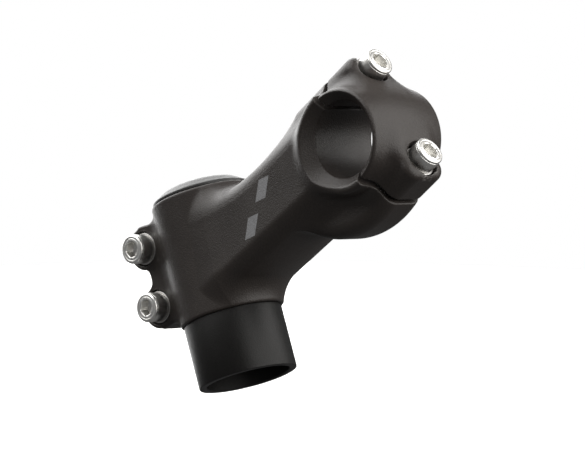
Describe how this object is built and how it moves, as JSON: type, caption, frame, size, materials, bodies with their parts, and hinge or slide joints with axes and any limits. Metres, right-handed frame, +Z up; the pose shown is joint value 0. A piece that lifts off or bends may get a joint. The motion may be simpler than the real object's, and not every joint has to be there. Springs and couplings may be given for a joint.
{
  "type": "handlebar stem",
  "caption": "Threadless bicycle handlebar stem: rising extension, two-bolt faceplate clamp, split steerer clamp with pinch bolts, top cap and spacer.",
  "frame": {"origin": "on the steerer bore's axis, at the lower face of the steerer clamp", "axes": "+Z up along the steerer, +X forward towards the handlebar clamp, +Y to the rider's left along the handlebar"},
  "size_m": [0.1359, 0.0356, 0.0843],
  "materials": {
    "body_black": "satin",
    "spacer_black": "satin",
    "cap_black": "satin",
    "screw_steel": "bright zinc plated",
    "washer_steel": "zinc plated",
    "screw_black": "black oxide",
    "zinc_steel": "zinc plated"
  },
  "bodies": {
    "stem": {"stem_body": "body_black", "star_nut_barrel": "zinc_steel", "star_nut_spring_upper": "zinc_steel", "star_nut_spring_lower": "zinc_steel"},
    "faceplate": {"faceplate": "body_black"},
    "faceplate_bolt_upper": {"faceplate_bolt_upper": "screw_steel"},
    "faceplate_bolt_lower": {"faceplate_bolt_lower": "screw_steel"},
    "faceplate_washer_upper": {"faceplate_washer_upper": "washer_steel"},
    "faceplate_washer_lower": {"faceplate_washer_lower": "washer_steel"},
    "pinch_bolt_upper": {"pinch_bolt_upper": "screw_steel"},
    "pinch_bolt_lower": {"pinch_bolt_lower": "screw_steel"},
    "pinch_washer_upper": {"pinch_washer_upper": "washer_steel"},
    "pinch_washer_lower": {"pinch_washer_lower": "washer_steel"},
    "top_cap": {"top_cap": "cap_black"},
    "top_cap_bolt": {"top_cap_bolt": "screw_black"},
    "steerer_spacer": {"steerer_spacer": "spacer_black"}
  },
  "joints": [
    {"name": "faceplate_slide", "type": "slide", "parent": "stem", "child": "faceplate", "axis": [0.9563, 0, 0.2924], "range_m": [0, 0.03]},
    {"name": "faceplate_bolt_upper_travel", "type": "slide", "parent": "faceplate", "child": "faceplate_washer_upper", "axis": [0.9563, 0, 0.2924], "range_m": [0, 0.012]},
    {"name": "faceplate_bolt_upper_turn", "type": "hinge", "parent": "faceplate_washer_upper", "child": "faceplate_bolt_upper", "pos_m": [0.0881, 0, 0.05605], "axis": [0.9563, 0, 0.2924], "range_deg": [0, 4320]},
    {"name": "faceplate_bolt_lower_travel", "type": "slide", "parent": "faceplate", "child": "faceplate_washer_lower", "axis": [0.9563, 0, 0.2924], "range_m": [0, 0.012]},
    {"name": "faceplate_bolt_lower_turn", "type": "hinge", "parent": "faceplate_washer_lower", "child": "faceplate_bolt_lower", "pos_m": [0.09877, 0, 0.02115], "axis": [0.9563, 0, 0.2924], "range_deg": [0, 4320]},
    {"name": "pinch_bolt_upper_travel", "type": "slide", "parent": "stem", "child": "pinch_washer_upper", "axis": [0, -1, 0], "range_m": [0, 0.009]},
    {"name": "pinch_bolt_upper_turn", "type": "hinge", "parent": "pinch_washer_upper", "child": "pinch_bolt_upper", "pos_m": [-0.0232, -0.01, 0.0324], "axis": [0, -1, 0], "range_deg": [0, 3240]},
    {"name": "pinch_bolt_lower_travel", "type": "slide", "parent": "stem", "child": "pinch_washer_lower", "axis": [0, -1, 0], "range_m": [0, 0.009]},
    {"name": "pinch_bolt_lower_turn", "type": "hinge", "parent": "pinch_washer_lower", "child": "pinch_bolt_lower", "pos_m": [-0.0232, -0.01, 0.0114], "axis": [0, -1, 0], "range_deg": [0, 3240]},
    {"name": "top_cap_lift", "type": "slide", "parent": "stem", "child": "top_cap", "axis": [0, 0, 1], "range_m": [0, 0.01]},
    {"name": "top_cap_bolt_turn", "type": "hinge", "parent": "top_cap", "child": "top_cap_bolt", "pos_m": [0, 0, 0.0442], "axis": [0, 0, 1], "range_deg": [0, 3600]},
    {"name": "spacer_slide", "type": "slide", "parent": "stem", "child": "steerer_spacer", "axis": [0, 0, -1], "range_m": [0, 0.03]}
  ],
  "couplings": [
    {"joint": "faceplate_bolt_upper_turn", "follows": "faceplate_bolt_upper_travel", "rad_per_m": 6283.2},
    {"joint": "faceplate_bolt_lower_turn", "follows": "faceplate_bolt_lower_travel", "rad_per_m": 6283.2},
    {"joint": "pinch_bolt_upper_turn", "follows": "pinch_bolt_upper_travel", "rad_per_m": 6283.2},
    {"joint": "pinch_bolt_lower_turn", "follows": "pinch_bolt_lower_travel", "rad_per_m": 6283.2},
    {"joint": "top_cap_bolt_turn", "follows": "top_cap_lift", "rad_per_m": 6283.2}
  ]
}
